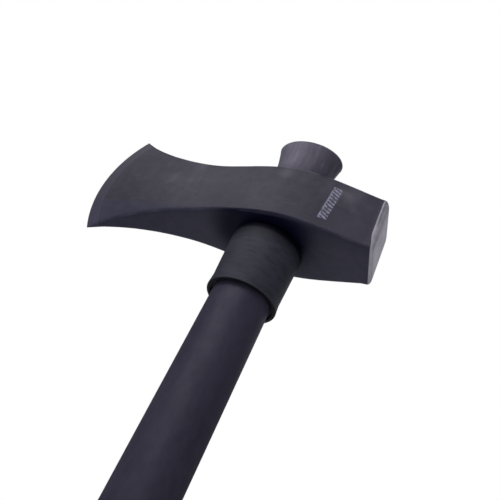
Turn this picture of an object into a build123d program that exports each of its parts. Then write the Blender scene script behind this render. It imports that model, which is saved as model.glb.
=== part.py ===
"""Splitting maul on a tubular steel handle, in millimetres.

Frame: the origin is the centre of the handle's butt face, +Z runs up the handle to the head,
-X points to the cutting edge, +X to the striking poll and +Y to one cheek.
Each piece is written to parts/NAME.step.
"""

import os

from build123d import *

# ---- driving dimensions -------------------------------------------------------------------
OVERALL_LENGTH = 900.0      # butt face to the bell's rim
TUBE_RADIUS = 19.0          # 38 mm steel tube
TUBE_WALL = 2.0

HEAD_MID_Z = 836.7          # height of the head's mid-plane
EDGE_X = -140.6             # furthest point of the cutting edge
EDGE_ARC_RADIUS = 97.1      # the cutting edge is one arc, seen from the side
POLL_X = 68.9               # striking face
HEAD_EDGE_RADIUS = 2.5      # rounding of the head's four long edges
POLL_FACE_Y = 15.0          # half-width and half-height of the striking face, to its chamfer
POLL_FACE_Z = 19.5
POLL_FACE_CORNER = 3.4
POLL_CHAMFER_ANGLE = 45.0
POLL_FACE_ROUNDING = 3.0    # the chamfer rolls over into the face with this radius

# Half-thickness of the head, seen along the handle: (x, half thickness).
PLAN_POINTS = [
    (-143.0, 5.2),
    (-100.0, 10.4),
    (-80.0, 12.6),
    (-58.0, 16.8),
    (-31.0, 24.2),
    (-8.0, 29.4),
    (16.0, 30.5),
    (41.0, 25.8),
    (POLL_X, 18.1),
]
# Half-height of the head, seen from the side: (x, half height).
SIDE_POINTS = [
    (-143.0, 54.6),
    (-117.0, 40.1),
    (-101.0, 33.2),
    (-80.0, 27.0),
    (-56.0, 23.3),
    (-31.0, 21.8),
    (-6.0, 22.4),
    (20.0, 22.3),
    (POLL_X, 21.2),
]

# The cheeks are ground to the edge in two steps, both cones about the edge arc's centre.
EDGE_HALF_LAND = 0.25       # half the thickness left at the very edge
GRIND_SLOPE = 0.30          # narrow edge bevel, thickness gained per mm inward
CHEEK_HALF_LAND = 0.9
CHEEK_SLOPE = 0.225         # wide cheek grind
GRIND_BACK_X = -82.0        # the grinding doesn't reach behind this

# The tube is pressed oval through the eye, so that the head can't turn on it, and is belled out
# above the head along X, so that the head can't fly off.
ROUND_TOP_Z = 786.0         # the tube is round up to here
OVAL_LOW_Z = 810.0          # and oval from here
OVAL_X = 19.9               # half-width along X
OVAL_Y = 17.6               # half-width along Y
BELL_START_Z = 879.0
BELL_X = 24.1               # half-widths of the bell's rim
BELL_Y = 17.4
BELL_CURVE = 0.4            # share of the bell's widening that is reached half-way up it
BELL_RIM_ROUNDING = 0.7     # outer edge of the rim

PLUG_RECESS = 1.6           # end plug, how far its cap sits below the bell's rim
PLUG_CAP = 3.5
PLUG_DEPTH = 15.5           # bottom of its spigot below the rim
PLUG_SPIGOT_WALL = 2.5
PLUG_ROUNDING = 0.8

COLLAR_BOTTOM_Z = 766.4     # rubber collar, pushed up against the head
COLLAR_RADIUS = 22.6        # just above the lip; it widens towards the top
COLLAR_TOP_RADIUS = 24.1
COLLAR_LIP_RADIUS = 23.2
COLLAR_LIP_HEIGHT = 4.0
COLLAR_LIP_ROUNDING = 2.0
COLLAR_TOP_ROUNDING = 4.0
COLLAR_MOUTH = 1.4          # countersink of the collar's lower mouth
COLLAR_TOP_BELOW_MID = 21.5  # its top, below the head's mid-plane, is moulded to the head

GRIP_LENGTH = 250.0         # rubber grip sleeve with a closed, belled butt
GRIP_RADIUS = 21.8
GRIP_END_WALL = 6.0
BUTT_RADIUS = 26.5
BUTT_CORNER = 3.0
BUTT_LENGTH = 18.0          # its widest part, below the slope up to the sleeve
BUTT_SLOPE_LENGTH = 14.0
GRIP_RIB_PITCH = 9.0
GRIP_RIB_DEPTH = 0.9
GRIP_RIB_COUNT = 21
GRIP_GROOVE_FLAT = 1.0      # groove floor, and each sloping side, along the handle
GRIP_PLAIN_END = 4.0        # smooth stretch below the first groove
GRIP_TOP_TAPER = 6.0        # the sleeve thins to its top rim over this length
GRIP_TOP_STEP = 1.6

BUTT_PLUG_FLANGE = 2.5      # plastic plug in the tube's lower end
BUTT_PLUG_LENGTH = 20.0

CUTTER = 300.0              # size of the helper blocks, larger than the whole head
LONG_EDGE = 100.0           # the head's rounded edges are all longer than this
SLACK = 0.1                 # tolerance when edges are picked by height

# ---- worked out from the above ------------------------------------------------------------
TUBE_BOTTOM_Z = GRIP_END_WALL + BUTT_PLUG_FLANGE
BELL_RIM_Z = OVERALL_LENGTH
EDGE_CENTRE_X = EDGE_X + EDGE_ARC_RADIUS
COLLAR_TOP_Z = HEAD_MID_Z - COLLAR_TOP_BELOW_MID


def turned(points):
    """A solid of revolution about Z from a closed outline of (radius, z) points."""
    outline = Polyline([(r, 0, z) for r, z in points], close=True)
    return revolve(make_face(outline), Axis.Z, 360)


def mirrored_outline(points):
    """A closed face in XY between a spline of (x, half width) points and its mirror image."""
    upper = Spline([(x, w) for x, w in points])
    lower = Spline([(x, -w) for x, w in points])
    front = Line(upper @ 0, lower @ 0)
    back = Line(upper @ 1, lower @ 1)
    return make_face([upper, lower, front, back])


# ---- head ---------------------------------------------------------------------------------
def head_blank():
    """The forging: plan outline and side outline, each extruded, and what they share."""
    plan = extrude(mirrored_outline(PLAN_POINTS), CUTTER / 2, both=True)
    side = extrude(mirrored_outline(SIDE_POINTS), CUTTER / 2, both=True)
    blank = plan & (Rot(X=90) * side)
    long_edges = [
        e for e in blank.edges()
        if e.bounding_box().size.X > LONG_EDGE
    ]
    return fillet(long_edges, HEAD_EDGE_RADIUS)


def grind_lens(half_land, slope):
    """A double cone about Y through the edge arc's centre, its rim on the cutting edge."""
    hub_half = half_land + slope * EDGE_ARC_RADIUS
    outline = Polyline(
        [
            (0, -hub_half),
            (EDGE_ARC_RADIUS, -half_land),
            (EDGE_ARC_RADIUS, half_land),
            (0, hub_half),
        ],
        close=True,
    )
    return Pos(X=EDGE_CENTRE_X) * revolve(make_face(outline), Axis.Y, 360)


def poll_die():
    """A frustum that starts at the striking face and cuts the rolled chamfer around it."""
    face = RectangleRounded(2 * POLL_FACE_Y, 2 * POLL_FACE_Z, POLL_FACE_CORNER)
    face = Plane.YZ.offset(POLL_X) * face
    die = extrude(face, CUTTER, dir=(-1, 0, 0), taper=-POLL_CHAMFER_ANGLE)
    return fillet(die.faces().sort_by(Axis.X)[-1].edges(), POLL_FACE_ROUNDING)


def maul_head():
    """Forged head with its ground bit, chamfered poll and oval eye."""
    body = head_blank()
    behind_bit = Pos(X=GRIND_BACK_X + CUTTER / 2) * Box(CUTTER, CUTTER, CUTTER)
    for half_land, slope in ((CHEEK_HALF_LAND, CHEEK_SLOPE), (EDGE_HALF_LAND, GRIND_SLOPE)):
        body = body & (grind_lens(half_land, slope) + behind_bit)
    body = Pos(Z=HEAD_MID_Z) * (body & poll_die())
    return body - oval_prism(0, OVAL_LOW_Z, BELL_START_Z)


# ---- handle -------------------------------------------------------------------------------
def oval(inset, z, half_x=OVAL_X, half_y=OVAL_Y):
    """A flat oval at height z, smaller than the tube's outside by inset."""
    return Pos(Z=z) * Ellipse(half_x - inset, half_y - inset)


def oval_prism(inset, low, high):
    """The tube's oval stretch between two heights."""
    return extrude(oval(inset, low), high - low)


def tube_solid(inset):
    """The filled tube: round, pressed to an oval, straight through the eye, then belled."""
    round_top = Pos(Z=ROUND_TOP_Z) * Circle(TUBE_RADIUS - inset)
    shaft = extrude(round_top, TUBE_BOTTOM_Z - ROUND_TOP_Z)
    neck = loft([round_top, oval(inset, OVAL_LOW_Z)])
    through_eye = oval_prism(inset, OVAL_LOW_Z, BELL_START_Z)
    middle = oval(
        inset,
        (BELL_START_Z + BELL_RIM_Z) / 2,
        OVAL_X + BELL_CURVE * (BELL_X - OVAL_X),
        OVAL_Y + BELL_CURVE * (BELL_Y - OVAL_Y),
    )
    rim = oval(inset, BELL_RIM_Z, BELL_X, BELL_Y)
    bell = loft([oval(inset, BELL_START_Z), middle, rim])
    return shaft + neck + through_eye + bell


def handle_tube():
    """Steel tube of even wall, open at both ends until the plugs go in."""
    filled = tube_solid(0)
    rim = filled.faces().sort_by(Axis.Z)[-1].edges()
    return fillet(rim, BELL_RIM_ROUNDING) - tube_solid(TUBE_WALL)


def slab(low, high):
    """Everything between two heights."""
    return Pos(Z=(low + high) / 2) * Box(CUTTER, CUTTER, high - low)


def end_plug():
    """Plastic plug down in the belled mouth: a cap on a hollow spigot that follows the bore."""
    cap_top = BELL_RIM_Z - PLUG_RECESS
    cap_bottom = cap_top - PLUG_CAP
    plug = tube_solid(TUBE_WALL) & slab(BELL_RIM_Z - PLUG_DEPTH, cap_top)
    plug = fillet(plug.faces().sort_by(Axis.Z)[-1].edges(), PLUG_ROUNDING)
    hollow = tube_solid(TUBE_WALL + PLUG_SPIGOT_WALL) & slab(0, cap_bottom)
    return plug - hollow


def butt_plug():
    """Plastic plug that closes the tube's lower end inside the grip."""
    bore = TUBE_RADIUS - TUBE_WALL
    return turned(
        [
            (0, GRIP_END_WALL),
            (TUBE_RADIUS, GRIP_END_WALL),
            (TUBE_RADIUS, TUBE_BOTTOM_Z),
            (bore, TUBE_BOTTOM_Z),
            (bore, TUBE_BOTTOM_Z + BUTT_PLUG_LENGTH),
            (bore - PLUG_SPIGOT_WALL, TUBE_BOTTOM_Z + BUTT_PLUG_LENGTH),
            (bore - PLUG_SPIGOT_WALL, TUBE_BOTTOM_Z),
            (0, TUBE_BOTTOM_Z),
        ]
    )


# ---- rubber -------------------------------------------------------------------------------
def collar():
    """Rubber collar below the head: a lipped sleeve, its top moulded to the head's underside."""
    bottom = COLLAR_BOTTOM_Z
    core = TUBE_RADIUS - 2 * TUBE_WALL
    body = turned(
        [
            (core, bottom + COLLAR_MOUTH),
            (TUBE_RADIUS, bottom + COLLAR_MOUTH),
            (TUBE_RADIUS + COLLAR_MOUTH, bottom),
            (COLLAR_LIP_RADIUS, bottom),
            (COLLAR_LIP_RADIUS, bottom + COLLAR_LIP_HEIGHT),
            (COLLAR_RADIUS, bottom + 2 * COLLAR_LIP_HEIGHT),
            (COLLAR_TOP_RADIUS, COLLAR_TOP_Z),
            (core, COLLAR_TOP_Z),
        ]
    )
    rims = body.edges().filter_by(GeomType.CIRCLE).sort_by(SortBy.RADIUS)
    lip = rims.filter_by_position(Axis.Z, bottom - SLACK, bottom + SLACK)[-1]
    top = rims.filter_by_position(Axis.Z, COLLAR_TOP_Z - SLACK, COLLAR_TOP_Z + SLACK)[-1]
    body = fillet(lip, COLLAR_LIP_ROUNDING)
    body = fillet(top, COLLAR_TOP_ROUNDING)
    return body - tube_solid(0) - maul_head()


def grip_outline():
    """Outer side of the grip, from the butt face up, with its ring grooves."""
    points = [
        (0, 0),
        (BUTT_RADIUS - BUTT_CORNER, 0),
        (BUTT_RADIUS, BUTT_CORNER),
        (BUTT_RADIUS, BUTT_LENGTH),
        (GRIP_RADIUS, BUTT_LENGTH + BUTT_SLOPE_LENGTH),
    ]
    groove = GRIP_RADIUS - GRIP_RIB_DEPTH
    first_groove_z = BUTT_LENGTH + BUTT_SLOPE_LENGTH + GRIP_PLAIN_END
    for rib in range(GRIP_RIB_COUNT):
        z = first_groove_z + rib * GRIP_RIB_PITCH
        points += [
            (GRIP_RADIUS, z),
            (groove, z + GRIP_GROOVE_FLAT),
            (groove, z + 2 * GRIP_GROOVE_FLAT),
            (GRIP_RADIUS, z + 3 * GRIP_GROOVE_FLAT),
        ]
    points.append((GRIP_RADIUS, GRIP_LENGTH - GRIP_TOP_TAPER))
    points.append((GRIP_RADIUS - GRIP_TOP_STEP, GRIP_LENGTH))
    return points


def grip():
    """Rubber grip: a ribbed sleeve closed at the belled butt."""
    bore = [(TUBE_RADIUS, GRIP_LENGTH), (TUBE_RADIUS, GRIP_END_WALL), (0, GRIP_END_WALL)]
    return turned(grip_outline() + bore)


# ---- write --------------------------------------------------------------------------------
PARTS = {
    "maul_head": maul_head,
    "handle_tube": handle_tube,
    "end_plug": end_plug,
    "butt_plug": butt_plug,
    "collar": collar,
    "grip": grip,
}

if __name__ == "__main__":
    os.makedirs("parts", exist_ok=True)
    for name, make in PARTS.items():
        export_step(make(), f"parts/{name}.step")
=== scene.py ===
import math

import bmesh
import bpy
import numpy as np
from mathutils import Matrix, Vector, noise


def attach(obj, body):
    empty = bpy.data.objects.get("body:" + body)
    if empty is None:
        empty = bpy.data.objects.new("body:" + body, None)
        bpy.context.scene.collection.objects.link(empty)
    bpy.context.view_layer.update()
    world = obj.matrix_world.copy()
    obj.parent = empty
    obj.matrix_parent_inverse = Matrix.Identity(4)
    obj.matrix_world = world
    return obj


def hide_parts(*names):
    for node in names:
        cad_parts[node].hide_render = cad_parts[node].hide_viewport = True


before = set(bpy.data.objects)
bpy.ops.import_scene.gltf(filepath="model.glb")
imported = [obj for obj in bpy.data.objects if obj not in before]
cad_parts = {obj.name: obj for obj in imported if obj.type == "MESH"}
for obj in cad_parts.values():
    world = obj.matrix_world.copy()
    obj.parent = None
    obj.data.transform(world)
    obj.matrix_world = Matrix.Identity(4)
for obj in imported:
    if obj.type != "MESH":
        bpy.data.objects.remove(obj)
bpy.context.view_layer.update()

# Splitting maul, visual model. All lengths in this script are millimetres in the CAD frame:
# +Z up the handle, -X to the cutting edge, +Y to the far cheek. MM turns them into metres.
MM = 0.001

# ---- head -----------------------------------------------------------------------------------
HEAD_MID_Z = 836.7
EDGE_X = -140.55                # furthest point of the cutting edge
EDGE_ARC_RADIUS = 97.1
EDGE_CENTRE_X = EDGE_X + EDGE_ARC_RADIUS
POLL_X = 68.85                  # striking face
PLAN_POINTS = [                 # x, half thickness
    (-117.0, 4.0), (-101.0, 7.7), (-80.0, 12.2), (-58.0, 16.8), (-31.0, 24.0),
    (-8.0, 29.3), (16.0, 30.5), (41.0, 25.8), (POLL_X, 18.1),
]
SIDE_POINTS = [                 # x, half height
    (-143.0, 54.6), (-117.0, 40.1), (-101.0, 33.2), (-80.0, 27.0), (-56.0, 23.3),
    (-31.0, 21.8), (-6.0, 22.4), (20.0, 22.3), (POLL_X, 21.2),
]
EDGE_HALF_LAND = 0.25           # half the thickness left at the very edge
BEVEL_SLOPE = 0.30              # narrow ground bevel, thickness gained per mm inward
CHEEK_HALF_LAND = 0.9           # wide cheek grind behind it
CHEEK_SLOPE = 0.225
GRIND_END_X = (-112.0, -34.0)   # the grind runs out into the forged plan between these
BEVEL_BLEND = 0.12              # how softly one ground surface runs into the next
LONG_EDGE_RADIUS = 2.5          # rounding of the four long edges
LONG_EDGE_SHARE = 0.8           # and at most this share of the half thickness

# The striking face has a rolled edge. Its size is given along X and inward, on the cheeks, on the
# lower side and on the upper side, where the face rolls off more.
POLL_CHEEK_ROLL = (4.5, 4.2)
POLL_SIDE_ROLL = (2.4, 2.1)
POLL_TOP_ROLL = (4.0, 4.5)
POLL_ROLL_BLEND = ((0.78, 0.99), (0.40, 0.96))  # where one becomes the other, above and below
POLL_TURN = (0, 4, 9, 12, 15, 20, 26, 32, 40, 50, 60, 70, 80, 90)   # its rings, in degrees
POLL_FACE_CORNER = 3.4
POLL_CROWN = 0.05               # the face bulges by this

# The forging's slow swell and quick dimples, and the stretches over which they fade out: behind the
# cutting edge, before the striking face, and round the eye.
FORGE_SWELL = 0.16
FORGE_SWELL_SIZE = 30.0
FORGE_DIMPLE = 0.06
FORGE_DIMPLE_SIZE = 8.0
FORGE_FROM_EDGE = (7.0, 14.0)
FORGE_FROM_POLL = (2.0, 7.0)
FORGE_FROM_EYE = (25.0, 30.0)
NARROW_SIDE_NORMAL = 0.5        # a normal with more Z than this is on the head's top or underside

# The head's mesh is a row of rings along X, called stations.
BIT_STATIONS = (0, 0.5, 1.2, 2.2, 3.6, 5.2, 6.8, 7.8, 8.4, 8.9, 9.6, 10.6, 12.2)    # from the edge
BLADE_START = 14.5              # also from the edge
BLADE_STATIONS = 42
EYE_STATIONS = 24
BACK_STATIONS = 15
STATION_GAP = 2.4               # between the stretches of blade, eye and back
CURVED_STATIONS_X = EDGE_X + 12.0   # before this they follow the cutting edge's arc
FLAT_STATIONS_X = -36.0         # and behind this they are flat
TIGHTEST_STATION = 40.0         # radius of the most curved one
STATION_PASSES = 40             # rounds of finding where one meets the side outline
CHEEK_STEPS = 36                # mesh steps across a cheek, a corner and a narrow side
CORNER_STEPS = 5
SIDE_STEPS = 20
EYE_REGION_X = 27.0             # the narrow sides' mesh turns round the eye within this
EYE_RINGS = 6
EYE_RING_EASE = 0.6             # how much closer together those rings are at the eye
EYE_EDGE_ROUND = 0.7
BORE_STEPS = 8

# ---- handle ---------------------------------------------------------------------------------
TUBE_RADIUS = 19.0
TUBE_WALL = 2.0
TUBE_BOTTOM_Z = 8.5
ROUND_TOP_Z = 786.0
OVAL_LOW_Z = 810.0
OVAL_X = 19.9
OVAL_Y = 17.6
BELL_START_Z = 879.0
BELL_RIM_Z = 899.95
BELL_X = 24.1
BELL_Y = 17.4
BELL_RIM_ROUND = 0.8
BELL_POWER = 1.32               # how late the bell opens
FIT_GAP = 0.06                  # clearance drawn between pieces that touch
TUBE_FOOT_ROUND = 0.6
TUBE_RUNS = (                   # from height, to height, number of rings
    (TUBE_BOTTOM_Z + 20, ROUND_TOP_Z, 23),
    (ROUND_TOP_Z, OVAL_LOW_Z, 10),
    (OVAL_LOW_Z, BELL_START_Z, 7),
    (BELL_START_Z, BELL_RIM_Z - BELL_RIM_ROUND, 13),
)
RIM_PROFILE = (                 # rounded rim: inset from the tube's outside, drop below the top
    (0.10, 0.50), (0.20, 0.28), (0.38, 0.10), (0.65, 0.0), (1.1, 0.0), (1.5, 0.05), (1.85, 0.3),
)
FOOT_PROFILE = ((1.95, 0.2), (1.6, 0.0), (0.5, 0.0), (0.1, 0.2))    # the same, upwards

# The end plug is a slightly dished cap on a hollow spigot, down in the bell's mouth.
PLUG_RECESS = 1.6
PLUG_CAP = 3.5
PLUG_DEPTH = 15.5               # bottom of the spigot below the rim
PLUG_WALL = 2.5
PLUG_DISH = 0.8
PLUG_DISH_RINGS = (0.2, 0.4, 0.6, 0.74)     # shares of the cap's half-widths
PLUG_PROFILE = (                # edge of the cap: inset from the bore, drop below the cap's top
    (3.6, 0.7), (3.1, 0.35), (2.5, 0.05), (2.1, 0.0), (0.8, 0.0), (0.3, 0.1), (0.05, 0.4),
)
PLUG_SPIGOT_TOP = 1.0
PLUG_SPIGOT_RINGS = 6
PLUG_HOLLOW_RINGS = 4

# ---- rubber ---------------------------------------------------------------------------------
COLLAR_BOTTOM_Z = 766.4
COLLAR_TOP_Z = 814.2
COLLAR_TOP_RADIUS = 24.1
COLLAR_TOP_ROUNDING = 4.1
COLLAR_LIP = (                  # mouth, lip and side: radius, height above the bottom, rounding
    (20.7, 2.6, 0), (20.8, 0.0, 0.4), (23.2, 0.0, 1.2), (22.9, 3.6, 3.0), (22.6, 8.0, 4.0),
)
COLLAR_MOUTH_DEPTH = 2.9
COLLAR_BORE_RINGS = 14
COLLAR_LONGEST_STEP = 4.0
GRIP_LENGTH = 250.0
GRIP_RADIUS = 21.8
GRIP_END_WALL = 6.0
BUTT_RADIUS = 26.5
BUTT_LENGTH = 18.0
BUTT_SLOPE_LENGTH = 14.0
GRIP_RIB_PITCH = 9.0
GRIP_RIB_DEPTH = 0.9
GRIP_RIB_COUNT = 21
GRIP_PLAIN_END = 4.0            # smooth stretch below the first groove
GRIP_FIRST_GROOVE_Z = BUTT_LENGTH + BUTT_SLOPE_LENGTH + GRIP_PLAIN_END
# The grip's outline as (radius, z, rounding): butt, one groove from its lower edge, top and socket.
BUTT_OUTLINE = (
    (0.0, 0.0, 0), (BUTT_RADIUS - 7, 0.0, 0.5), (BUTT_RADIUS - 3, 0.6, 2.5), (BUTT_RADIUS, 3.6, 3.0),
    (BUTT_RADIUS, BUTT_LENGTH - 2, 8.0), (GRIP_RADIUS, BUTT_LENGTH + BUTT_SLOPE_LENGTH, 8.0),
)
GROOVE_OUTLINE = (
    (GRIP_RADIUS, 0, 0.5), (GRIP_RADIUS - GRIP_RIB_DEPTH, 1, 0.4),
    (GRIP_RADIUS - GRIP_RIB_DEPTH, 2, 0.4), (GRIP_RADIUS, 3, 0.5),
)
GRIP_TOP_OUTLINE = (
    (GRIP_RADIUS, GRIP_LENGTH - 6, 3.0), (GRIP_RADIUS - 1.6, GRIP_LENGTH - 0.2, 0.5),
    (TUBE_RADIUS + 0.4, GRIP_LENGTH, 0.2), (TUBE_RADIUS, GRIP_LENGTH - 0.6, 0),
    (TUBE_RADIUS, GRIP_END_WALL, 0), (0.0, GRIP_END_WALL, 0),
)
BUTT_PLUG_LENGTH = 20.0
BUTT_PLUG_GAP = 0.1             # its flange is this much smaller than the grip's socket
ROUND_STEPS = 96                # mesh steps round the handle


# ---- curves ---------------------------------------------------------------------------------
def natural_spline(points):
    """A natural cubic through (x, y) points, as a function of x."""
    x = np.array([p[0] for p in points])
    y = np.array([p[1] for p in points])
    h = np.diff(x)
    last = len(x) - 1
    rows = np.eye(len(x))
    bends = np.zeros(len(x))
    for i in range(1, last):
        rows[i, i - 1:i + 2] = h[i - 1], 2 * (h[i - 1] + h[i]), h[i]
        bends[i] = 6 * ((y[i + 1] - y[i]) / h[i] - (y[i] - y[i - 1]) / h[i - 1])
    m = np.linalg.solve(rows, bends)

    def at(t):
        i = min(max(int(np.searchsorted(x, t)) - 1, 0), last - 1)
        left, right = t - x[i], x[i + 1] - t
        cubic = (m[i] * right ** 3 + m[i + 1] * left ** 3) / (6 * h[i])
        return cubic + (y[i] / h[i] - m[i] * h[i] / 6) * right + (
            y[i + 1] / h[i] - m[i + 1] * h[i] / 6) * left

    return at


plan_at = natural_spline(PLAN_POINTS)
side_at = natural_spline(SIDE_POINTS)


def smoothstep(low, high, value):
    t = min(max((value - low) / (high - low), 0.0), 1.0)
    return t * t * (3 - 2 * t)


def smooth_min(a, b, blend):
    h = min(max(0.5 + 0.5 * (b - a) / blend, 0.0), 1.0)
    return b + (a - b) * h - blend * h * (1 - h)


def edge_depth(x, z):
    """Distance inward from the cutting edge's arc; z is from the head's mid-plane."""
    return EDGE_ARC_RADIUS - math.hypot(min(x - EDGE_CENTRE_X, 0.0), z)


def half_thickness(x, z):
    """The forged plan behind the blade, running into the two ground cones at the blade."""
    forged = plan_at(x)
    depth = max(edge_depth(x, z), 0.0)
    cheek = CHEEK_HALF_LAND + CHEEK_SLOPE * depth
    ground = smooth_min(cheek, EDGE_HALF_LAND + BEVEL_SLOPE * depth, BEVEL_BLEND)
    return ground + (forged - ground) * smoothstep(*GRIND_END_X, x)


# ---- meshes ---------------------------------------------------------------------------------
SMOOTH_ANGLE = 32.0             # edges that turn by more degrees are shaded sharp
CORNER_SHARE = 0.49             # a rounding uses at most this share of the lines beside its corner


def to_object(bm, name, material, node):
    """Writes a bmesh in millimetres as one piece that replaces a CAD node."""
    bmesh.ops.recalc_face_normals(bm, faces=bm.faces)
    for v in bm.verts:
        v.co *= MM
    mesh = bpy.data.meshes.new(name)
    bm.to_mesh(mesh)
    bm.free()
    for polygon in mesh.polygons:
        polygon.use_smooth = True
    mesh.set_sharp_from_angle(angle=math.radians(SMOOTH_ANGLE))
    mesh.materials.append(material)
    obj = bpy.data.objects.new(name, mesh)
    bpy.context.scene.collection.objects.link(obj)
    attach(obj, "root")
    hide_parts(node)
    return obj


def bridge(bm, a, b, skip=lambda k: False):
    """Quads between two closed rings of vertices."""
    n = len(a)
    for k in range(n):
        if not skip(k):
            bm.faces.new((a[k], a[(k + 1) % n], b[(k + 1) % n], b[k]))


def ring_points(half_width, half_height, corner):
    """(y, z) round a rounded rectangle, counted from the near cheek's lower end.

    half_width is a function of z, because the ground bit is thinner towards its ends.
    """
    flat_z = half_height - corner
    cheek = [-flat_z + 2 * flat_z * k / CHEEK_STEPS for k in range(CHEEK_STEPS)]
    first_half = [(-half_width(z), z) for z in cheek]

    def corner_points(angles, sign):
        points = []
        for a in angles:
            z = flat_z + corner * math.sin(a)
            points.append((sign * (half_width(z) - corner * (1 - math.cos(a))), z))
        return points

    turn = [math.pi / 2 * k / CORNER_STEPS for k in range(CORNER_STEPS)]
    first_half += corner_points(turn, -1)
    top_y = half_width(half_height) - corner
    first_half += [(-top_y + 2 * top_y * k / SIDE_STEPS, half_height) for k in range(SIDE_STEPS)]
    first_half += corner_points([math.pi / 2 - a for a in turn], 1)
    return first_half + [(-y, -z) for y, z in first_half]


def station(x0):
    """One ring of the head as vectors. x0 is where it crosses the mid-plane."""
    relax = smoothstep(CURVED_STATIONS_X, FLAT_STATIONS_X, x0)
    curve = (1 - relax) / (EDGE_CENTRE_X - min(x0, EDGE_CENTRE_X - TIGHTEST_STATION))

    def x_at(z):
        if curve == 0.0:
            return x0
        return x0 + (1 - math.sqrt(1 - (curve * z) ** 2)) / curve

    height = side_at(x0)
    for _ in range(STATION_PASSES):
        height = side_at(x_at(height))
    width_end = half_thickness(x_at(height), height)
    corner = min(LONG_EDGE_RADIUS, LONG_EDGE_SHARE * width_end)
    ring = ring_points(lambda z: half_thickness(x_at(z), z), height, corner)
    return [Vector((x_at(z), y, z)) for y, z in ring]


def poll_roll(z):
    """How far behind the face the rolled edge starts at a height from the head's mid-plane."""
    side = POLL_TOP_ROLL[0] if z > 0 else POLL_SIDE_ROLL[0]
    blend = smoothstep(*POLL_ROLL_BLEND[0 if z > 0 else 1], abs(z) / side_at(POLL_X))
    return POLL_CHEEK_ROLL[0] + (side - POLL_CHEEK_ROLL[0]) * blend


def poll_station(degrees):
    """One ring of the poll's rolled edge, between the last forged ring and the striking face."""
    forward = math.sin(math.radians(degrees))
    inward = 1 - math.cos(math.radians(degrees))
    x_ref = POLL_X - POLL_CHEEK_ROLL[0]
    corner = LONG_EDGE_RADIUS + (POLL_FACE_CORNER - LONG_EDGE_RADIUS) * inward
    half_height = side_at(x_ref) - POLL_SIDE_ROLL[1] * inward
    half_width = plan_at(x_ref) - POLL_CHEEK_ROLL[1] * inward
    ring = []
    for y, z in ring_points(lambda z: half_width, half_height, corner):
        x = POLL_X - POLL_CROWN - poll_roll(z) * (1 - forward)
        lowered = (POLL_TOP_ROLL[1] - POLL_SIDE_ROLL[1]) * inward
        lowered *= smoothstep(0.0, 1.0, z / half_height)
        ring.append(Vector((x, y, z - lowered)))
    return ring


def head_stations():
    """The stations' places along X, and the numbers of the first and last beside the eye."""
    bit = [EDGE_X + behind for behind in BIT_STATIONS]
    blade = list(np.linspace(EDGE_X + BLADE_START, -EYE_REGION_X - STATION_GAP, BLADE_STATIONS))
    eye = list(np.linspace(-EYE_REGION_X, EYE_REGION_X, EYE_STATIONS))
    back_end = POLL_X - POLL_CHEEK_ROLL[0] - STATION_GAP
    back = list(np.linspace(EYE_REGION_X + STATION_GAP, back_end, BACK_STATIONS))
    first = len(bit) + len(blade)
    return bit + blade + eye + back, first, first + len(eye) - 1


def forge_offset(p, normal):
    """How far the forging's unevenness moves a point, fading out where the head is ground or bored."""
    calm = smoothstep(*FORGE_FROM_EDGE, edge_depth(p.x, p.z)) * smoothstep(*FORGE_FROM_POLL, POLL_X - p.x)
    if abs(normal.z) > NARROW_SIDE_NORMAL:
        calm *= smoothstep(*FORGE_FROM_EYE, math.hypot(p.x, p.y))
    swell = noise.noise(p / FORGE_SWELL_SIZE) * FORGE_SWELL
    dimple = noise.noise(p / FORGE_DIMPLE_SIZE) * FORGE_DIMPLE
    return calm * (swell + dimple - FORGE_SWELL)


def poll_face(bm, ring):
    """Fills the poll ring with a grid of quads, slightly crowned."""
    n = len(ring)
    half = CORNER_STEPS // 2
    left = [ring[(k - (CORNER_STEPS - half)) % n] for k in range(CHEEK_STEPS + CORNER_STEPS + 1)]
    wide = SIDE_STEPS + CORNER_STEPS
    top_start = CHEEK_STEPS + half
    top = [ring[(top_start + k) % n] for k in range(wide + 1)]
    rows = CHEEK_STEPS + CORNER_STEPS
    right = [ring[(top_start + wide + rows - k) % n] for k in range(rows + 1)]
    bottom = [ring[(top_start + 2 * wide + rows - k) % n] for k in range(wide + 1)]
    grid = []
    for i in range(rows + 1):
        v = i / rows
        line = []
        for j in range(wide + 1):
            u = j / wide
            if j in (0, wide):
                line.append((left if j == 0 else right)[i])
                continue
            if i in (0, rows):
                line.append((bottom if i == 0 else top)[j])
                continue
            p = (left[i].co * (1 - u) + right[i].co * u + bottom[j].co * (1 - v) + top[j].co * v
                 - (bottom[0].co * (1 - u) + bottom[wide].co * u) * (1 - v)
                 - (top[0].co * (1 - u) + top[wide].co * u) * v)
            p.x += POLL_CROWN * (1 - (2 * u - 1) ** 2) * (1 - (2 * v - 1) ** 2)
            line.append(bm.verts.new(p))
        grid.append(line)
    for i in range(rows):
        for j in range(wide):
            bm.faces.new((grid[i][j], grid[i][j + 1], grid[i + 1][j + 1], grid[i + 1][j]))


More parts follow.
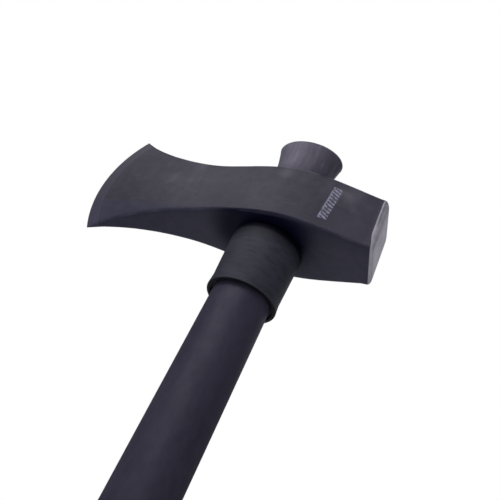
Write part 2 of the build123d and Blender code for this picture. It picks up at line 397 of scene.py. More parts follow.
def eye_side(bm, rings, first, last, start_column, sign):
    """Meshes one narrow side round the eye and returns the ring of vertices down in the bore."""
    columns = [start_column + k for k in range(SIDE_STEPS + 1)]
    loop = [rings[i][columns[0]] for i in range(first, last)]
    loop += [rings[last][c % len(rings[0])] for c in columns[:-1]]
    loop += [rings[i][columns[-1] % len(rings[0])] for i in range(last, first, -1)]
    loop += [rings[first][c % len(rings[0])] for c in reversed(columns[1:])]

    def on_oval(v, grow):
        reach = math.hypot(v.co.x / OVAL_X, v.co.y / OVAL_Y)
        angle = math.atan2(v.co.y / OVAL_Y / reach, v.co.x / OVAL_X / reach)
        return (OVAL_X + grow) * math.cos(angle), (OVAL_Y + grow) * math.sin(angle)

    previous = loop
    for step in range(1, EYE_RINGS + 1):
        t = step / EYE_RINGS
        t *= 1 + EYE_RING_EASE * (1 - t)
        ring = []
        for v in loop:
            ox, oy = on_oval(v, EYE_EDGE_ROUND)
            x = v.co.x + (ox - v.co.x) * t
            y = v.co.y + (oy - v.co.y) * t
            ring.append(bm.verts.new((x, y, sign * side_at(x))))
        bridge(bm, previous, ring)
        previous = ring
    for a in (math.pi / 6, math.pi / 3, math.pi / 2):
        ring = []
        for v in loop:
            x, y = on_oval(v, EYE_EDGE_ROUND * (1 - math.sin(a)))
            ring.append(bm.verts.new((x, y, sign * (side_at(x) - EYE_EDGE_ROUND * (1 - math.cos(a))))))
        bridge(bm, previous, ring)
        previous = ring
    return previous


def edge_land(bm, ring, middle):
    """Closes the narrow land of the cutting edge; middle is the ring's topmost vertex."""
    n = len(ring)
    for k in range(n // 2):
        corners = [ring[(middle + k) % n], ring[(middle + k + 1) % n],
                   ring[(middle - k - 1) % n], ring[(middle - k) % n]]
        bm.faces.new(list(dict.fromkeys(corners)))


def eye_bore(bm, upper, lower):
    """Joins the eye's two rims."""
    lower = [min(lower, key=lambda w: (w.co.xy - v.co.xy).length) for v in upper]
    previous = upper
    for step in range(1, BORE_STEPS):
        ring = [bm.verts.new(a.co.lerp(b.co, step / BORE_STEPS)) for a, b in zip(upper, lower)]
        bridge(bm, previous, ring)
        previous = ring
    bridge(bm, previous, lower)


def make_head(material):
    """The forging: stations from the edge to the poll, the eye through them, and the forged skin."""
    bm = bmesh.new()
    xs, first, last = head_stations()
    outlines = [station(x) for x in xs]
    outlines += [poll_station(degrees) for degrees in POLL_TURN]
    rings = [[bm.verts.new(p) for p in outline] for outline in outlines]
    top_column = CHEEK_STEPS + CORNER_STEPS
    bottom_column = top_column + len(rings[0]) // 2

    def in_side(k):
        return any(start <= k < start + SIDE_STEPS for start in (top_column, bottom_column))

    for i in range(len(rings) - 1):
        bridge(bm, rings[i], rings[i + 1], in_side if first <= i < last else lambda k: False)
    poll_face(bm, rings[-1])
    edge_land(bm, rings[0], top_column + SIDE_STEPS // 2)
    upper = eye_side(bm, rings, first, last, top_column, 1)
    lower = eye_side(bm, rings, first, last, bottom_column, -1)
    eye_bore(bm, upper, lower)
    bmesh.ops.recalc_face_normals(bm, faces=bm.faces)
    bm.normal_update()
    moves = [v.normal * forge_offset(v.co, v.normal) for v in bm.verts]
    for v, move in zip(bm.verts, moves):
        v.co += move
        v.co.z += HEAD_MID_Z
    return to_object(bm, "forged_head", material, "maul_head")


def oval_at(z, inset=0.0):
    """Half-widths of the tube at a height: round, then oval, then belled."""
    t = smoothstep(ROUND_TOP_Z, OVAL_LOW_Z, z)
    half_x = TUBE_RADIUS + (OVAL_X - TUBE_RADIUS) * t
    half_y = TUBE_RADIUS + (OVAL_Y - TUBE_RADIUS) * t
    open_up = max(z - BELL_START_Z, 0.0) / (BELL_RIM_Z - BELL_START_Z)
    open_up = min(open_up, 1.0) ** BELL_POWER
    return (half_x + (BELL_X - OVAL_X) * open_up - inset,
            half_y + (BELL_Y - OVAL_Y) * open_up - inset)


def lathe(outline, name, material, node, closed=False):
    """Turns (half_x, half_y, z) rings into a closed piece; closed joins the last ring to the first."""
    bm = bmesh.new()
    rings = []
    for half_x, half_y, z in outline:
        if half_x <= 0:
            rings.append([bm.verts.new((0, 0, z))])
            continue
        ring = []
        for k in range(ROUND_STEPS):
            a = 2 * math.pi * k / ROUND_STEPS
            ring.append(bm.verts.new((half_x * math.cos(a), half_y * math.sin(a), z)))
        rings.append(ring)
    pairs = list(zip(rings, rings[1:]))
    if closed:
        pairs.append((rings[-1], rings[0]))
    for a, b in pairs:
        if len(a) == 1 or len(b) == 1:
            tip, ring = (a[0], b) if len(a) == 1 else (b[0], a)
            for k in range(ROUND_STEPS):
                bm.faces.new((tip, ring[k], ring[(k + 1) % ROUND_STEPS]))
        else:
            bridge(bm, a, b)
    return to_object(bm, name, material, node)


def rounded(points, radius_steps=4):
    """Rounds the corners of an open (r, z) outline given as (r, z, corner radius)."""
    out = []
    for i, (r, z, radius) in enumerate(points):
        if radius == 0 or i in (0, len(points) - 1):
            out.append((r, z))
            continue
        here = Vector((r, z))
        before = Vector(points[i - 1][:2]) - here
        after = Vector(points[i + 1][:2]) - here
        half = before.angle(after) / 2
        cut = min(radius / math.tan(half), before.length * CORNER_SHARE, after.length * CORNER_SHARE)
        start, end = here + before.normalized() * cut, here + after.normalized() * cut
        for k in range(radius_steps + 1):
            t = k / radius_steps
            p = start * (1 - t) ** 2 + here * 2 * t * (1 - t) + end * t ** 2
            out.append((p.x, p.y))
    return out


def make_tube(material):
    """The tube with its even wall: up the outside, over the rim, down the bore, round the foot."""
    heights = [TUBE_BOTTOM_Z + TUBE_FOOT_ROUND, TUBE_RUNS[0][0]]
    for low, high, count in TUBE_RUNS:
        heights += list(np.linspace(low, high, count + 1)[1:])
    outer = [(*oval_at(z, FIT_GAP), z) for z in heights]
    inner = [(*oval_at(z, TUBE_WALL), z) for z in reversed(heights)]
    rim = [(*oval_at(BELL_RIM_Z, inset), BELL_RIM_Z - drop) for inset, drop in RIM_PROFILE]
    foot = [(*oval_at(TUBE_BOTTOM_Z, inset), TUBE_BOTTOM_Z + up) for inset, up in FOOT_PROFILE]
    return lathe(outer + rim + inner + foot, "steel_tube", material, "handle_tube", True)


def make_collar(material):
    """A sleeve with a thicker lip, a rounded top edge and the tube's own shape inside."""
    corners = [(r, COLLAR_BOTTOM_Z + up, rounding) for r, up, rounding in COLLAR_LIP]
    corners.append((COLLAR_TOP_RADIUS, COLLAR_TOP_Z - COLLAR_TOP_ROUNDING, 0))
    outline = rounded(corners, 6)
    for degrees in range(15, 91, 15):
        a = math.radians(degrees)
        outline.append((COLLAR_TOP_RADIUS - COLLAR_TOP_ROUNDING * (1 - math.cos(a)),
                        COLLAR_TOP_Z - COLLAR_TOP_ROUNDING * (1 - math.sin(a))))
    outline.append((OVAL_X, COLLAR_TOP_Z))
    rings = []
    for (r, z), (r2, z2) in zip(outline, outline[1:]):
        steps = max(1, int(math.hypot(r2 - r, z2 - z) / COLLAR_LONGEST_STEP))
        for k in range(steps):
            here = r + (r2 - r) * k / steps
            rings.append((here, here, z + (z2 - z) * k / steps))
    for z in np.linspace(COLLAR_TOP_Z, COLLAR_BOTTOM_Z + COLLAR_MOUTH_DEPTH, COLLAR_BORE_RINGS):
        rings.append((*oval_at(z), z))
    return lathe(rings, "rubber_collar", material, "collar", True)


def make_grip(material):
    """A ribbed sleeve with a closed, belled butt."""
    points = list(BUTT_OUTLINE)
    for rib in range(GRIP_RIB_COUNT):
        low = GRIP_FIRST_GROOVE_Z + rib * GRIP_RIB_PITCH
        points += [(r, low + up, rounding) for r, up, rounding in GROOVE_OUTLINE]
    points += GRIP_TOP_OUTLINE
    rings = [(r, r, z) for r, z in rounded(points, 3)]
    return lathe(rings, "rubber_grip", material, "grip")


def make_end_plug(material):
    """The oval plug in the bell's mouth: middle of the cap, its edge, the spigot, its hollow."""
    top = BELL_RIM_Z - PLUG_RECESS
    bottom = BELL_RIM_Z - PLUG_DEPTH
    half_x, half_y = oval_at(top, TUBE_WALL + FIT_GAP)
    rings = [(0.0, 0.0, top - PLUG_DISH)]
    for share in PLUG_DISH_RINGS:
        rings.append((half_x * share, half_y * share, top - PLUG_DISH))
    for inset, drop in PLUG_PROFILE:
        rings.append((half_x - inset, half_y - inset, top - drop))
    for z in np.linspace(top - PLUG_SPIGOT_TOP, bottom, PLUG_SPIGOT_RINGS):
        rings.append((*oval_at(z, TUBE_WALL + FIT_GAP), z))
    for z in np.linspace(bottom, top - PLUG_CAP, PLUG_HOLLOW_RINGS):
        rings.append((*oval_at(z, TUBE_WALL + PLUG_WALL), z))
    rings.append((0.0, 0.0, top - PLUG_CAP))
    return lathe(rings, "oval_end_plug", material, "end_plug")


def make_butt_plug(material):
    """A flange under the tube's lower end, with a hollow spigot up inside it."""
    flange = TUBE_RADIUS - BUTT_PLUG_GAP
    bore = TUBE_RADIUS - TUBE_WALL - FIT_GAP
    hollow = bore - PLUG_WALL
    bottom = GRIP_END_WALL + FIT_GAP
    shoulder = TUBE_BOTTOM_Z - FIT_GAP
    top = TUBE_BOTTOM_Z + BUTT_PLUG_LENGTH
    points = [
        (0.0, bottom, 0), (flange, bottom, 0.5), (flange, shoulder, 0.3), (bore, shoulder, 0),
        (bore, top, 0.8), (hollow, top, 0.5), (hollow, TUBE_BOTTOM_Z, 1.0), (0.0, TUBE_BOTTOM_Z, 0),
    ]
    rings = [(r, r, z) for r, z in rounded(points)]
    return lathe(rings, "round_butt_plug", material, "butt_plug")


# ---- materials ------------------------------------------------------------------------------
NOISE_ROUGHNESS = 0.55
CLOUD = (0.3, 0.7)              # part of a noise's range over which one tone turns into another


class Shader:
    """A Principled material that is built up node by node."""

    def __init__(self, name, color, roughness, specular=0.5):
        self.material = bpy.data.materials.new(name)
        self.material.use_nodes = True
        self.nodes = self.material.node_tree.nodes
        self.links = self.material.node_tree.links
        self.bsdf = self.nodes["Principled BSDF"]
        self.bsdf.inputs["Base Color"].default_value = (*color, 1)
        self.bsdf.inputs["Roughness"].default_value = roughness
        self.bsdf.inputs["Specular IOR Level"].default_value = specular
        self.place = self.nodes.new("ShaderNodeTexCoord").outputs["Object"]

    def feed(self, name, value):
        self.links.new(value, self.bsdf.inputs[name])

    def math(self, operation, a, b=0.0, clamp=False):
        node = self.nodes.new("ShaderNodeMath")
        node.operation = operation
        node.use_clamp = clamp
        for socket, value in zip(node.inputs, (a, b)):
            if isinstance(value, (int, float)):
                socket.default_value = value
            else:
                self.links.new(value, socket)
        return node.outputs[0]

    def distance(self, a, b):
        """The length of (a, b)."""
        squares = [self.math("MULTIPLY", v, v) for v in (a, b)]
        return self.math("SQRT", self.math("ADD", *squares))

    def noise(self, size, detail=3.0, stretch=(1, 1, 1)):
        """Noise from 0 to 1 whose features are about size mm, longer where stretch is less than 1."""
        mapping = self.nodes.new("ShaderNodeMapping")
        mapping.inputs["Scale"].default_value = [s / (size * MM) for s in stretch]
        self.links.new(self.place, mapping.inputs["Vector"])
        node = self.nodes.new("ShaderNodeTexNoise")
        node.inputs["Scale"].default_value = 1.0
        node.inputs["Detail"].default_value = detail
        node.inputs["Roughness"].default_value = NOISE_ROUGHNESS
        self.links.new(mapping.outputs[0], node.inputs["Vector"])
        return node.outputs["Fac"]

    def ramp(self, value, low, high, to_low=0.0, to_high=1.0):
        """A soft step from to_low to to_high while the value goes from low to high."""
        node = self.nodes.new("ShaderNodeMapRange")
        node.interpolation_type = "SMOOTHSTEP"
        for name, v in (("From Min", low), ("From Max", high), ("To Min", to_low), ("To Max", to_high)):
            node.inputs[name].default_value = v
        self.links.new(value, node.inputs["Value"])
        return node.outputs["Result"]

    def axis(self, name):
        """The place along X, Y or Z in millimetres."""
        node = self.nodes.new("ShaderNodeSeparateXYZ")
        self.links.new(self.place, node.inputs[0])
        return self.math("DIVIDE", node.outputs[name], MM)

    def mix(self, amount, a, b):
        node = self.nodes.new("ShaderNodeMix")
        node.data_type = "RGBA"
        self.links.new(amount, node.inputs["Factor"])
        for socket, value in ((node.inputs["A"], a), (node.inputs["B"], b)):
            if isinstance(value, tuple):
                socket.default_value = (*value, 1)
            else:
                self.links.new(value, socket)
        return node.outputs["Result"]

    def layers(self, tone, layers):
        """Lays noise over a tone: (size, detail, stretch, from, to, amount, colour) each."""
        for size, detail, stretch, low, high, amount, color in layers:
            mask = self.ramp(self.noise(size, detail, stretch), low, high, 0.0, amount)
            tone = self.mix(mask, tone, color)
        return tone

    def relief(self, layers):
        """Fine relief of the surface: (noise size, detail, depth in mm, strength) each."""
        previous = None
        for size, detail, depth, strength in layers:
            node = self.nodes.new("ShaderNodeBump")
            node.inputs["Distance"].default_value = depth * MM
            node.inputs["Strength"].default_value = strength
            self.links.new(self.noise(size, detail), node.inputs["Height"])
            if previous is not None:
                self.links.new(previous, node.inputs["Normal"])
            previous = node.outputs[0]
        self.feed("Normal", previous)


# ---- head paint -----------------------------------------------------------------------------
HEAD_COLOR = (0.052, 0.049, 0.066)
HEAD_CLOUD_SIZE = 26.0
HEAD_TONES = ((0.038, 0.036, 0.057), (0.051, 0.048, 0.073))
HEAD_ROUGHNESS = (0.44, 0.56)
HEAD_LAYERS = (                 # mottle, light grain, scratches along the head
    (5.5, 4.0, (1, 1, 1), 0.38, 0.62, 0.38, (0.076, 0.072, 0.104)),
    (2.2, 4.0, (1, 1, 1), 0.62, 0.80, 1.0, (0.080, 0.076, 0.106)),
    (2.6, 5.0, (0.10, 1, 1), 0.58, 0.74, 0.35, (0.108, 0.103, 0.138)),
)
HEAD_RELIEF = ((5.0, 4.0, 0.10, 0.6), (0.8, 2.0, 0.03, 0.5))

# Bands across the head that are lighter, in patches: x of its start, middle and end, amount.
LIGHTER_BANDS_X = ((-85.0, -42.0, 4.0, 0.45), (28.0, 54.0, 80.0, 0.75))
LIGHTER_BAND_NOISE = (9.0, 5.0)        # size, detail
LIGHTER_BAND_RANGE = (0.25, 0.75)
LIGHTER_BAND_AMOUNT = (0.5, 1.3)       # of the band's amount, between the patches and in them
LIGHTER_BAND_COLOR = (0.086, 0.081, 0.112)

# The ground bevel is a lighter stripe, this far inward from the cutting edge.
BEVEL_STRIPE = (9.2, 8.2)
BEVEL_COLOR = (0.105, 0.100, 0.130)
BEVEL_AMOUNT = 0.8

# The underside: a cold tint and a darkening to the near side, both painted shade.
UNDERSIDE_Z = (-19.0, -21.0)    # from the head's mid-plane
UNDERSIDE_SHADE_TINT = (0.040, 0.040, 0.150)
UNDERSIDE_SHADE_TINT_AMOUNT = 0.2
UNDERSIDE_SHADE = (0.008, 0.007, 0.030)
UNDERSIDE_SHADE_Y = (-2.0, -24.0)
UNDERSIDE_SHADE_AMOUNT = 0.35
# Painted shade under the head round the collar: x and y of its middle, and the radii of its fading.
COLLAR_SHADE_CENTRE = (-5.0, -7.0)
COLLAR_SHADE_FADE = (46.0, 21.0)
COLLAR_SHADE_COLOR = (0.002, 0.003, 0.022)
COLLAR_SHADE_SPECULAR = (0.5, 0.12)     # outside it and in it

# Printed mark on the near cheek: a leaning column of slanted bars.
MARK_X = 35.0
MARK_Z = (-13.5, 14.5)          # from the head's mid-plane
MARK_LEAN = 0.09                # how far it leans to +X per mm up
MARK_HALF_WIDTH = 2.9
MARK_BORDER = 0.9
MARK_SOFTNESS = 0.2             # of the column's outline
MARK_BAR_PITCH = 2.6
MARK_BAR_SLANT = 0.45
MARK_BAR_SHARE = 0.31           # half the share of the pitch that is printed
MARK_BAR_SOFTNESS = 0.08
MARK_NOISE = (2.2, 4.0)         # size, detail
MARK_RUBBED = (0.32, 0.60, 0.25, 1.0)   # noise from, to, and how much of the print is left
MARK_SIDE_Y = (-10.0, -12.0)    # only on the near cheek
MARK_COLOR = (0.46, 0.47, 0.60)

# Bare steel where the paint is worn off; its light colour is partly painted highlight and reflection.
WORN_AND_SHEEN_COLOR = (0.80, 0.77, 0.83)
WORN_METALLIC = 0.35
WORN_AND_SHEEN_NOISE = (5.0, 5.0)
WORN_AND_SHEEN_PATCHES = (0.35, 0.65, 0.82, 1.0)  # noise from, to, and how bare it is


def lighter_bands(s, tone, x):
    """Lighter patches in bands across the head."""
    for x_from, x_full, x_to, amount in LIGHTER_BANDS_X:
        here = s.math("MULTIPLY", s.ramp(x, x_from, x_full), s.ramp(x, x_to, x_full))
        between, inside = LIGHTER_BAND_AMOUNT
        patches = s.ramp(s.noise(*LIGHTER_BAND_NOISE), *LIGHTER_BAND_RANGE, between * amount, inside * amount)
        tone = s.mix(s.math("MULTIPLY", here, patches), tone, LIGHTER_BAND_COLOR)
    return tone


def bevel_stripe(s, tone, x, z):
    """The lighter stripe along the cutting edge."""
    radius = s.distance(s.math("SUBTRACT", x, EDGE_CENTRE_X), z)
    near_edge = s.ramp(radius, *[EDGE_ARC_RADIUS - inward for inward in BEVEL_STRIPE])
    stripe = s.math("MULTIPLY", near_edge, s.ramp(x, EDGE_CENTRE_X, EDGE_CENTRE_X - 1))
    return s.mix(s.math("MULTIPLY", stripe, BEVEL_AMOUNT), tone, BEVEL_COLOR)


def painted_underside_shade(s, tone, x, y, z):
    """Painted shade on the underside and round the collar; also returns where the collar's shade is."""
    forward, sideways = s.math("SUBTRACT", x, COLLAR_SHADE_CENTRE[0]), s.math("SUBTRACT", y, COLLAR_SHADE_CENTRE[1])
    # Painted shade: a cold tint and a darkening to the near side, and near black round the collar.
    underneath = s.ramp(z, *UNDERSIDE_Z)
    collar_shade = s.math("MULTIPLY", s.ramp(s.distance(forward, sideways), *COLLAR_SHADE_FADE), underneath)
    shade = s.math("MULTIPLY", s.ramp(y, *UNDERSIDE_SHADE_Y, 0.0, UNDERSIDE_SHADE_AMOUNT), underneath)
    tone = s.mix(s.math("MULTIPLY", underneath, UNDERSIDE_SHADE_TINT_AMOUNT), tone, UNDERSIDE_SHADE_TINT)
    tone = s.mix(collar_shade, tone, COLLAR_SHADE_COLOR)
    return s.mix(shade, tone, UNDERSIDE_SHADE), collar_shade


def printed_mark(s, x, y, z):
    """1 where the cheek's mark is printed."""
    across = s.math("SUBTRACT", x, s.math("ADD", s.math("MULTIPLY", z, MARK_LEAN), MARK_X))
    column = s.ramp(s.math("ABSOLUTE", across), MARK_HALF_WIDTH + MARK_SOFTNESS,
                    MARK_HALF_WIDTH - MARK_SOFTNESS)
    middle, reach = (MARK_Z[0] + MARK_Z[1]) / 2, (MARK_Z[1] - MARK_Z[0]) / 2
    off_middle = s.math("ABSOLUTE", s.math("SUBTRACT", z, middle))
    length = s.ramp(off_middle, reach + MARK_SOFTNESS, reach - MARK_SOFTNESS)
    along = s.math("DIVIDE", s.math("ADD", z, s.math("MULTIPLY", across, MARK_BAR_SLANT)), MARK_BAR_PITCH)
    off_bar = s.math("ABSOLUTE", s.math("SUBTRACT", s.math("FRACT", along), 0.5))
    bars = s.ramp(off_bar, MARK_BAR_SHARE + MARK_BAR_SOFTNESS, MARK_BAR_SHARE - MARK_BAR_SOFTNESS)
    border = s.ramp(across, MARK_BORDER + MARK_SOFTNESS - MARK_HALF_WIDTH,
                    MARK_BORDER - MARK_SOFTNESS - MARK_HALF_WIDTH)
    bars = s.math("MAXIMUM", bars, border)
    printed = s.math("MULTIPLY", s.math("MULTIPLY", column, length), bars)
    rubbed = s.math("MULTIPLY", printed, s.ramp(s.noise(*MARK_NOISE), *MARK_RUBBED))
    return s.math("MULTIPLY", rubbed, s.ramp(y, *MARK_SIDE_Y))


def head_material():
    s = Shader("head_paint", HEAD_COLOR, roughness=0.5)
    x, y, z = s.axis("X"), s.axis("Y"), s.math("SUBTRACT", s.axis("Z"), HEAD_MID_Z)
    cloud = s.noise(HEAD_CLOUD_SIZE)
    tone = s.layers(s.mix(s.ramp(cloud, *CLOUD), *HEAD_TONES), HEAD_LAYERS)
    tone = lighter_bands(s, tone, x)
    tone = bevel_stripe(s, tone, x, z)
    # Painted shade on the head's underside and round the collar.
    tone, collar_shade = painted_underside_shade(s, tone, x, y, z)
    tone = s.mix(printed_mark(s, x, y, z), tone, MARK_COLOR)
    # Worn bare steel, also painted highlight on the edges and painted reflection on the face.
    wear_and_sheen_attribute = s.nodes.new("ShaderNodeAttribute")
    wear_and_sheen_attribute.attribute_name = "wear_and_sheen"
    patches = s.ramp(s.noise(*WORN_AND_SHEEN_NOISE), *WORN_AND_SHEEN_PATCHES)
    wear_and_sheen = s.math("MULTIPLY", wear_and_sheen_attribute.outputs["Fac"], patches, clamp=True)
    s.feed("Base Color", s.mix(wear_and_sheen, tone, WORN_AND_SHEEN_COLOR))
    s.feed("Roughness", s.ramp(cloud, *CLOUD, *HEAD_ROUGHNESS))
    s.feed("Metallic", s.math("MULTIPLY", wear_and_sheen, WORN_METALLIC))
    # The painted shade round the collar also loses its shine.
    s.feed("Specular IOR Level", s.ramp(collar_shade, 0.0, 1.0, *COLLAR_SHADE_SPECULAR))
    s.relief(HEAD_RELIEF)
    return s.material


# ---- tube paint -----------------------------------------------------------------------------
TUBE_COLOR = (0.061, 0.058, 0.092)
TUBE_CLOUD = (30.0, 3.0, (1, 1, 0.35))  # size, detail, stretch
TUBE_TONES = ((0.050, 0.046, 0.077), (0.063, 0.059, 0.094))
TUBE_LAYERS = ((4.0, 4.0, (1, 1, 0.5), 0.38, 0.62, 0.3, (0.085, 0.080, 0.122)),)
TUBE_ROUGHNESS = (0.50, 0.60)
TUBE_ROUGHNESS_SIZE = 9.0
TUBE_RELIEF = ((0.7, 2.0, 0.02, 0.5),)

# The bell, rubbed bare above the head: two tones from the edge's side to the poll's side, the lighter
# one painted light and the darker painted shade, streaks down the bell, and the rim.
BARE_FROM_Z = (BELL_START_Z - 20, BELL_START_Z)
BARE_NOISE = (6.0, 4.0)
BARE_PATCHES = (0.2, 0.8, 0.8, 1.0)     # noise from, to, and how bare it is
BARE_LIT_AND_SHADED_TONES = ((0.265, 0.247, 0.308), (0.130, 0.121, 0.157))
BARE_LIT_TO_SHADED_X = (-12.0, 20.0)
BARE_LAYERS = (
    (3.2, 3.0, (1, 1, 0.2), 0.50, 0.75, 0.35, (0.40, 0.38, 0.46)),
    (3.2, 3.0, (1, 1, 0.2), 0.50, 0.28, 0.40, (0.11, 0.10, 0.135)),
)
# The rim's lighter band: partly wear, partly a painted highlight on its rounding.
RIM_FROM_Z = (BELL_RIM_Z - 1.6, BELL_RIM_Z - 0.4)
RIM_WEAR_AND_HIGHLIGHT_COLOR = (0.25, 0.24, 0.28)
RIM_AMOUNT = 0.8


def tube_material():
    s = Shader("tube_paint", TUBE_COLOR, roughness=0.55, specular=0.4)
    z = s.axis("Z")
    tone = s.mix(s.ramp(s.noise(*TUBE_CLOUD), *CLOUD), *TUBE_TONES)
    tone = s.layers(tone, TUBE_LAYERS)
    rubbed = s.math("MULTIPLY", s.ramp(z, *BARE_FROM_Z), s.ramp(s.noise(*BARE_NOISE), *BARE_PATCHES))
    # Painted light on the edge's side of the bell, painted shade on the poll's side.
    bare_lit_and_shaded = s.mix(s.ramp(s.axis("X"), *BARE_LIT_TO_SHADED_X), *BARE_LIT_AND_SHADED_TONES)
    tone = s.mix(rubbed, tone, s.layers(bare_lit_and_shaded, BARE_LAYERS))
    # The rim: lighter, partly as wear and partly as a painted highlight.
    s.feed("Base Color", s.mix(s.ramp(z, *RIM_FROM_Z, 0.0, RIM_AMOUNT), tone, RIM_WEAR_AND_HIGHLIGHT_COLOR))
    s.feed("Roughness", s.ramp(s.noise(TUBE_ROUGHNESS_SIZE), *CLOUD, *TUBE_ROUGHNESS))
    s.relief(TUBE_RELIEF)
    return s.material


# ---- rubber and plastic ---------------------------------------------------------------------
COLLAR_COLOR = (0.055, 0.059, 0.078)
COLLAR_LIGHT = (0.065, 0.068, 0.091)
# Painted shade: the collar's top, under the head, and its bottom face turn nearly black.
COLLAR_PAINTED_SHADE = (            # stretches over which it turns nearly black: from z, to z, amount
    (COLLAR_TOP_Z - 7.6, COLLAR_TOP_Z - 4.6, 1.0),
    (COLLAR_TOP_Z - 17.0, COLLAR_TOP_Z - 5.0, 0.85),
    (COLLAR_BOTTOM_Z + 0.5, COLLAR_BOTTOM_Z + 0.1, 1.0),
)
GRIP_COLOR = (0.030, 0.030, 0.034)
GRIP_LIGHT = (0.036, 0.036, 0.041)
RUBBER_CLOUD_SIZE = 18.0
RUBBER_ROUGHNESS = (0.58, 0.68)
RUBBER_SPECULAR = 0.4
RUBBER_RELIEF = ((0.6, 3.0, 0.04, 0.6),)
RUBBER_SMEARS = (2.6, 4.0, (0.3, 0.3, 1), 0.55, 0.32, 0.55)
SMEAR_SHADE = 0.62              # share of the rubber's colour in a smear
PAINTED_SHADE_COLOR = (0.003, 0.003, 0.008)
PAINTED_SHADE_SPECULAR = 0.06
PLUG_COLOR = (0.036, 0.035, 0.044)
PLUG_CLOUD_SIZE = 12.0
PLUG_TONES = ((0.033, 0.032, 0.040), (0.040, 0.039, 0.048))
PLUG_RELIEF = ((0.5, 2.0, 0.02, 0.5),)


def rubber_material(name, color, light, painted_shade=()):
    """Matt rubber with darker smears and painted shade; the first stretch of shade also loses its shine.
    """
    s = Shader(name, color, roughness=0.62, specular=RUBBER_SPECULAR)
    z = s.axis("Z")
    cloud = s.noise(RUBBER_CLOUD_SIZE)
    tone = s.mix(s.ramp(cloud, *CLOUD), color, light)
    tone = s.layers(tone, [(*RUBBER_SMEARS, tuple(SMEAR_SHADE * c for c in color))])
    # Painted shade over each given stretch.
    for start, end, amount in painted_shade:
        tone = s.mix(s.ramp(z, start, end, 0.0, amount), tone, PAINTED_SHADE_COLOR)
    for start, end, _ in painted_shade[:1]:
        s.feed("Specular IOR Level", s.ramp(z, start, end, RUBBER_SPECULAR, PAINTED_SHADE_SPECULAR))
    s.feed("Base Color", tone)
    s.feed("Roughness", s.ramp(cloud, *CLOUD, *RUBBER_ROUGHNESS))
    s.relief(RUBBER_RELIEF)
    return s.material


def plug_material():
    s = Shader("plug_plastic", PLUG_COLOR, roughness=0.5)
    s.feed("Base Color", s.mix(s.ramp(s.noise(PLUG_CLOUD_SIZE), *CLOUD), *PLUG_TONES))
    s.relief(PLUG_RELIEF)
    return s.material


# ---- wear and painted sheen -----------------------------------------------------------------
# Of the head's lower and upper long edges: how worn, also as a painted highlight, and over which
# stretch of the rounding, as the mm that a point of it lies inside the sharp edge's two faces.
EDGE_WEAR_AND_SHEEN = (0.04, 0.36)
EDGE_WEAR_AND_SHEEN_FROM = ((0.42, 0.66), (0.16, 0.55))
EDGE_WEAR_AND_SHEEN_PATCH = 11.0          # size of its patches
EDGE_WEAR_AND_SHEEN_NOISE = (-0.35, 0.35)
# Of the striking face: bare from this share of its rolled edge on. Over a band of the rolled edge's
# upper half some of the paint is left.
# The bare face's light colour is partly a painted reflection.
STRUCK_FROM = (0.10, 0.20)
PAINT_LEFT_FROM = (0.24, 0.36)
PAINT_LEFT_TO = (0.75, 0.45)
PAINT_LEFT_Z = (-6.0, 2.0)      # from the head's mid-plane
PAINT_LEFT = 0.6


def paint_wear_and_sheen(head):
    """How worn each vertex is, also as painted sheen: on its long edges, striking face and rolled edge.
    """
    attribute = head.data.attributes.new("wear_and_sheen", "FLOAT", "POINT")
    values = []
    for v in head.data.vertices:
        p = v.co / MM
        z = p.z - HEAD_MID_Z
        turned = 1 - (POLL_X - POLL_CROWN - p.x) / poll_roll(z)
        paint_left = smoothstep(*PAINT_LEFT_FROM, turned) * smoothstep(*PAINT_LEFT_TO, turned)
        paint_left *= smoothstep(*PAINT_LEFT_Z, z)
        struck = smoothstep(*STRUCK_FROM, turned) * (1 - PAINT_LEFT * paint_left)
        inside = min(half_thickness(p.x, z) - abs(p.y), side_at(p.x) - abs(z))
        upper = int(z > 0)
        rubbed = smoothstep(*EDGE_WEAR_AND_SHEEN_FROM[upper], inside)
        rubbed *= smoothstep(*EDGE_WEAR_AND_SHEEN_NOISE, noise.noise(p / EDGE_WEAR_AND_SHEEN_PATCH))
        values.append(max(struck, EDGE_WEAR_AND_SHEEN[upper] * rubbed))
    attribute.data.foreach_set("value", values)


# ---- camera, light and floor ----------------------------------------------------------------
AZIMUTH = math.radians(22.915)
ELEVATION = math.radians(-34.016)
ROLL = math.radians(27.548)
TARGET = Vector((-0.00863, -0.00365, 0.8036))   # metres, as is the distance
DISTANCE = 0.39974
FOCAL_LENGTH = 44.34
SENSOR_WIDTH = 36
SOFTBOXES = (                   # name, metres from the target, diameter, watts
    ("front", (0.0, -0.75, 0.35), 0.5, 1.27),
    ("front_left", (-0.6, -0.9, 0.6), 0.6, 2.35),
    ("high_left", (-0.8, -0.4, 0.9), 0.6, 0.8),
    ("back", (0.32, 1.05, 0.88), 0.8, 1.15),
)
SOFTBOX_COLOR = (0.95, 0.935, 1.0)
BACKDROP_COLOR = (1, 1, 1, 1)
AMBIENT_COLOR = (0.89, 0.88, 1.0, 1)
AMBIENT_STRENGTH = 0.10
FLOOR_COLOR = (0.90, 0.90, 0.91)
FLOOR_HALF_SIZE = 14.0          # metres
FLOOR_GLOW_FROM = (500.0, 5000.0)   # mm from the handle
FLOOR_GLOW = (0.075, 0.46)
FLOOR_GLOW_COLOR = (0.97, 0.98, 1.0, 1)


def camera_matrix():
    back = Vector((math.sin(AZIMUTH) * math.cos(ELEVATION), -math.cos(AZIMUTH) * math.cos(ELEVATION),
                   math.sin(ELEVATION)))
    level = Vector((math.cos(AZIMUTH), math.sin(AZIMUTH), 0))
    over = back.cross(level)
    right = level * math.cos(ROLL) + over * math.sin(ROLL)
    up = -level * math.sin(ROLL) + over * math.cos(ROLL)
    matrix = Matrix((right, up, back)).transposed().to_4x4()
    matrix.translation = TARGET + back * DISTANCE
    return matrix


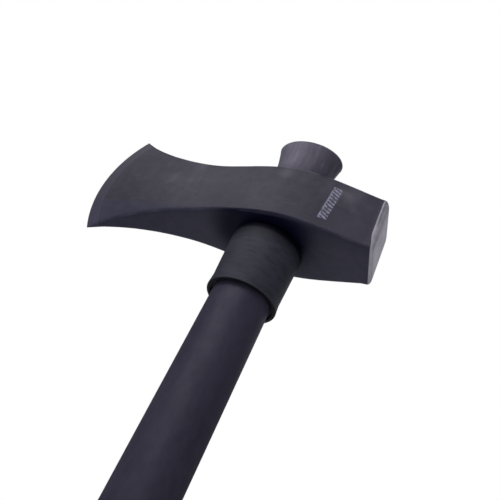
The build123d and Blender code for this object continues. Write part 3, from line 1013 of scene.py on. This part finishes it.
def make_camera():
    data = bpy.data.cameras.new("camera")
    data.sensor_width = SENSOR_WIDTH
    data.lens = FOCAL_LENGTH
    data.clip_start = 0.01
    camera = bpy.data.objects.new("camera", data)
    camera.matrix_world = camera_matrix()
    bpy.context.scene.collection.objects.link(camera)
    bpy.context.scene.camera = camera


def make_softbox(name, offset, size, watts):
    """A round area light that shines on the target."""
    data = bpy.data.lights.new(name, "AREA")
    data.shape = "DISK"
    data.size = size
    data.energy = watts
    data.color = SOFTBOX_COLOR
    light = bpy.data.objects.new(name, data)
    offset = Vector(offset)
    light.matrix_world = offset.to_track_quat("Z", "Y").to_matrix().to_4x4()
    light.matrix_world.translation = TARGET + offset
    light.visible_camera = False
    bpy.context.scene.collection.objects.link(light)


def make_world():
    """A white backdrop for the camera and a dim ambient light for everything else."""
    world = bpy.data.worlds.new("studio")
    bpy.context.scene.world = world
    world.use_nodes = True
    nodes, links = world.node_tree.nodes, world.node_tree.links
    backdrop = nodes["Background"]
    backdrop.inputs["Color"].default_value = BACKDROP_COLOR
    ambient = nodes.new("ShaderNodeBackground")
    ambient.inputs["Color"].default_value = AMBIENT_COLOR
    ambient.inputs["Strength"].default_value = AMBIENT_STRENGTH
    mix = nodes.new("ShaderNodeMixShader")
    links.new(nodes.new("ShaderNodeLightPath").outputs["Is Camera Ray"], mix.inputs[0])
    links.new(ambient.outputs[0], mix.inputs[1])
    links.new(backdrop.outputs[0], mix.inputs[2])
    links.new(mix.outputs[0], nodes["World Output"].inputs[0])


def floor_material():
    """White paper that brightens towards the horizon, so that it meets the white backdrop softly."""
    s = Shader("floor_paper", FLOOR_COLOR, roughness=0.9, specular=0.2)
    away = s.distance(s.axis("X"), s.axis("Y"))
    s.bsdf.inputs["Emission Color"].default_value = FLOOR_GLOW_COLOR
    s.feed("Emission Strength", s.ramp(away, *FLOOR_GLOW_FROM, *FLOOR_GLOW))
    return s.material


def make_floor():
    bm = bmesh.new()
    bmesh.ops.create_grid(bm, x_segments=1, y_segments=1, size=FLOOR_HALF_SIZE)
    mesh = bpy.data.meshes.new("floor")
    bm.to_mesh(mesh)
    bm.free()
    mesh.materials.append(floor_material())
    floor = bpy.data.objects.new("floor", mesh)
    bpy.context.scene.collection.objects.link(floor)


# ---- the scene ------------------------------------------------------------------------------
bpy.context.scene.view_settings.view_transform = "Standard"
make_camera()
make_world()
make_floor()
for softbox in SOFTBOXES:
    make_softbox(*softbox)

head = make_head(head_material())
paint_wear_and_sheen(head)
make_tube(tube_material())
make_collar(rubber_material("collar_rubber", COLLAR_COLOR, COLLAR_LIGHT, COLLAR_PAINTED_SHADE))
make_grip(rubber_material("grip_rubber", GRIP_COLOR, GRIP_LIGHT))
plug = plug_material()
make_end_plug(plug)
make_butt_plug(plug)
